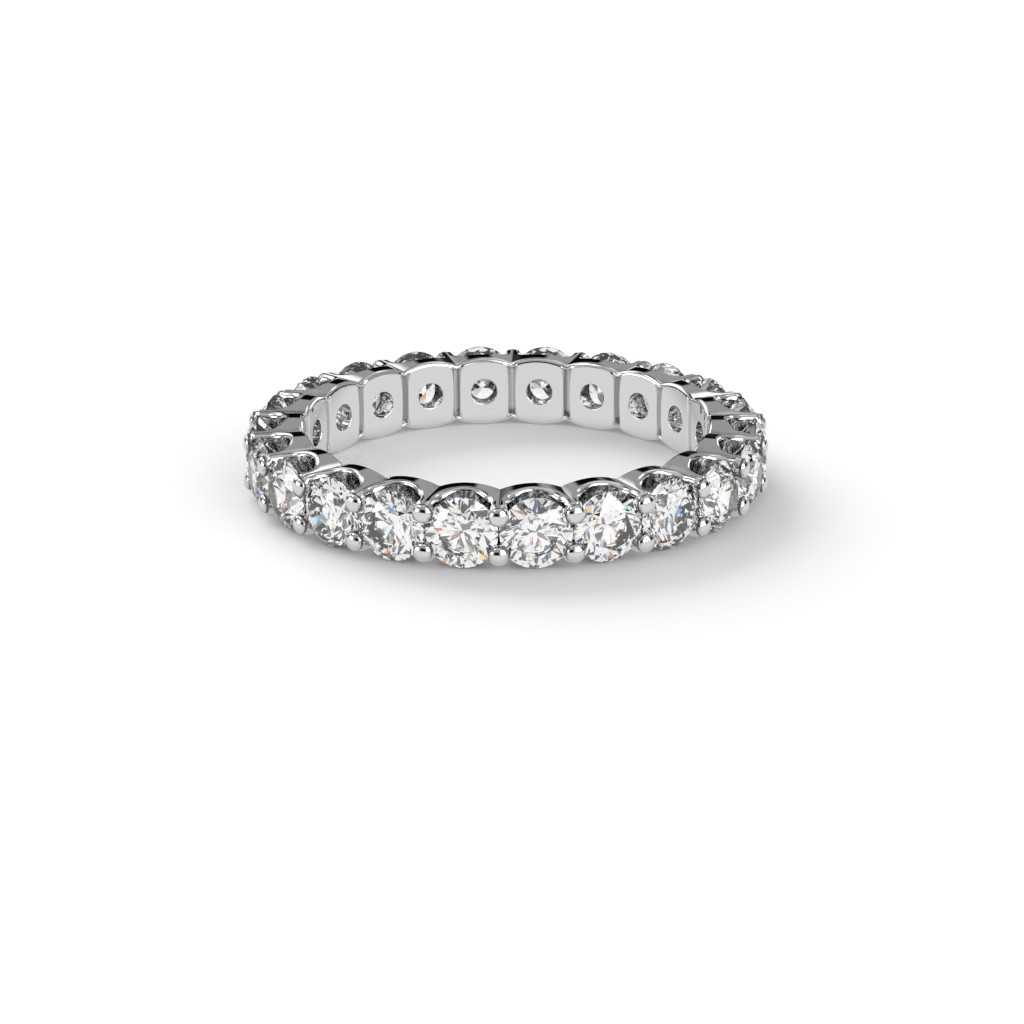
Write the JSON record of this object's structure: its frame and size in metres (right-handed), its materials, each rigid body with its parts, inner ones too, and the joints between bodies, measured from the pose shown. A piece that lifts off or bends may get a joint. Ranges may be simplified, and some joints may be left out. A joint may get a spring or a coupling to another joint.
{
  "type": "eternity ring",
  "caption": "Full eternity ring: equal round brilliants all the way round, each pair of neighbours sharing rounded prongs, on a scalloped band with an open hole behind every stone.",
  "frame": {"origin": "middle of the finger hole, half way along the finger", "axes": "+Z along the finger; +Y from the front of the ring to its back, so that -Y goes out between two stones; +X to the right"},
  "size_m": [0.0214, 0.0214, 0.003],
  "materials": {
    "metal": "high polish, white precious metal",
    "diamond": "polished facets, colourless"
  },
  "bodies": {
    "root": {"setting": "metal", "stone_01": "diamond", "stone_02": "diamond", "stone_03": "diamond", "stone_04": "diamond", "stone_05": "diamond", "stone_06": "diamond", "stone_07": "diamond", "stone_08": "diamond", "stone_09": "diamond", "stone_10": "diamond", "stone_11": "diamond", "stone_12": "diamond", "stone_13": "diamond", "stone_14": "diamond", "stone_15": "diamond", "stone_16": "diamond", "stone_17": "diamond", "stone_18": "diamond", "stone_19": "diamond", "stone_20": "diamond", "stone_21": "diamond", "stone_22": "diamond"}
  },
  "joints": []
}
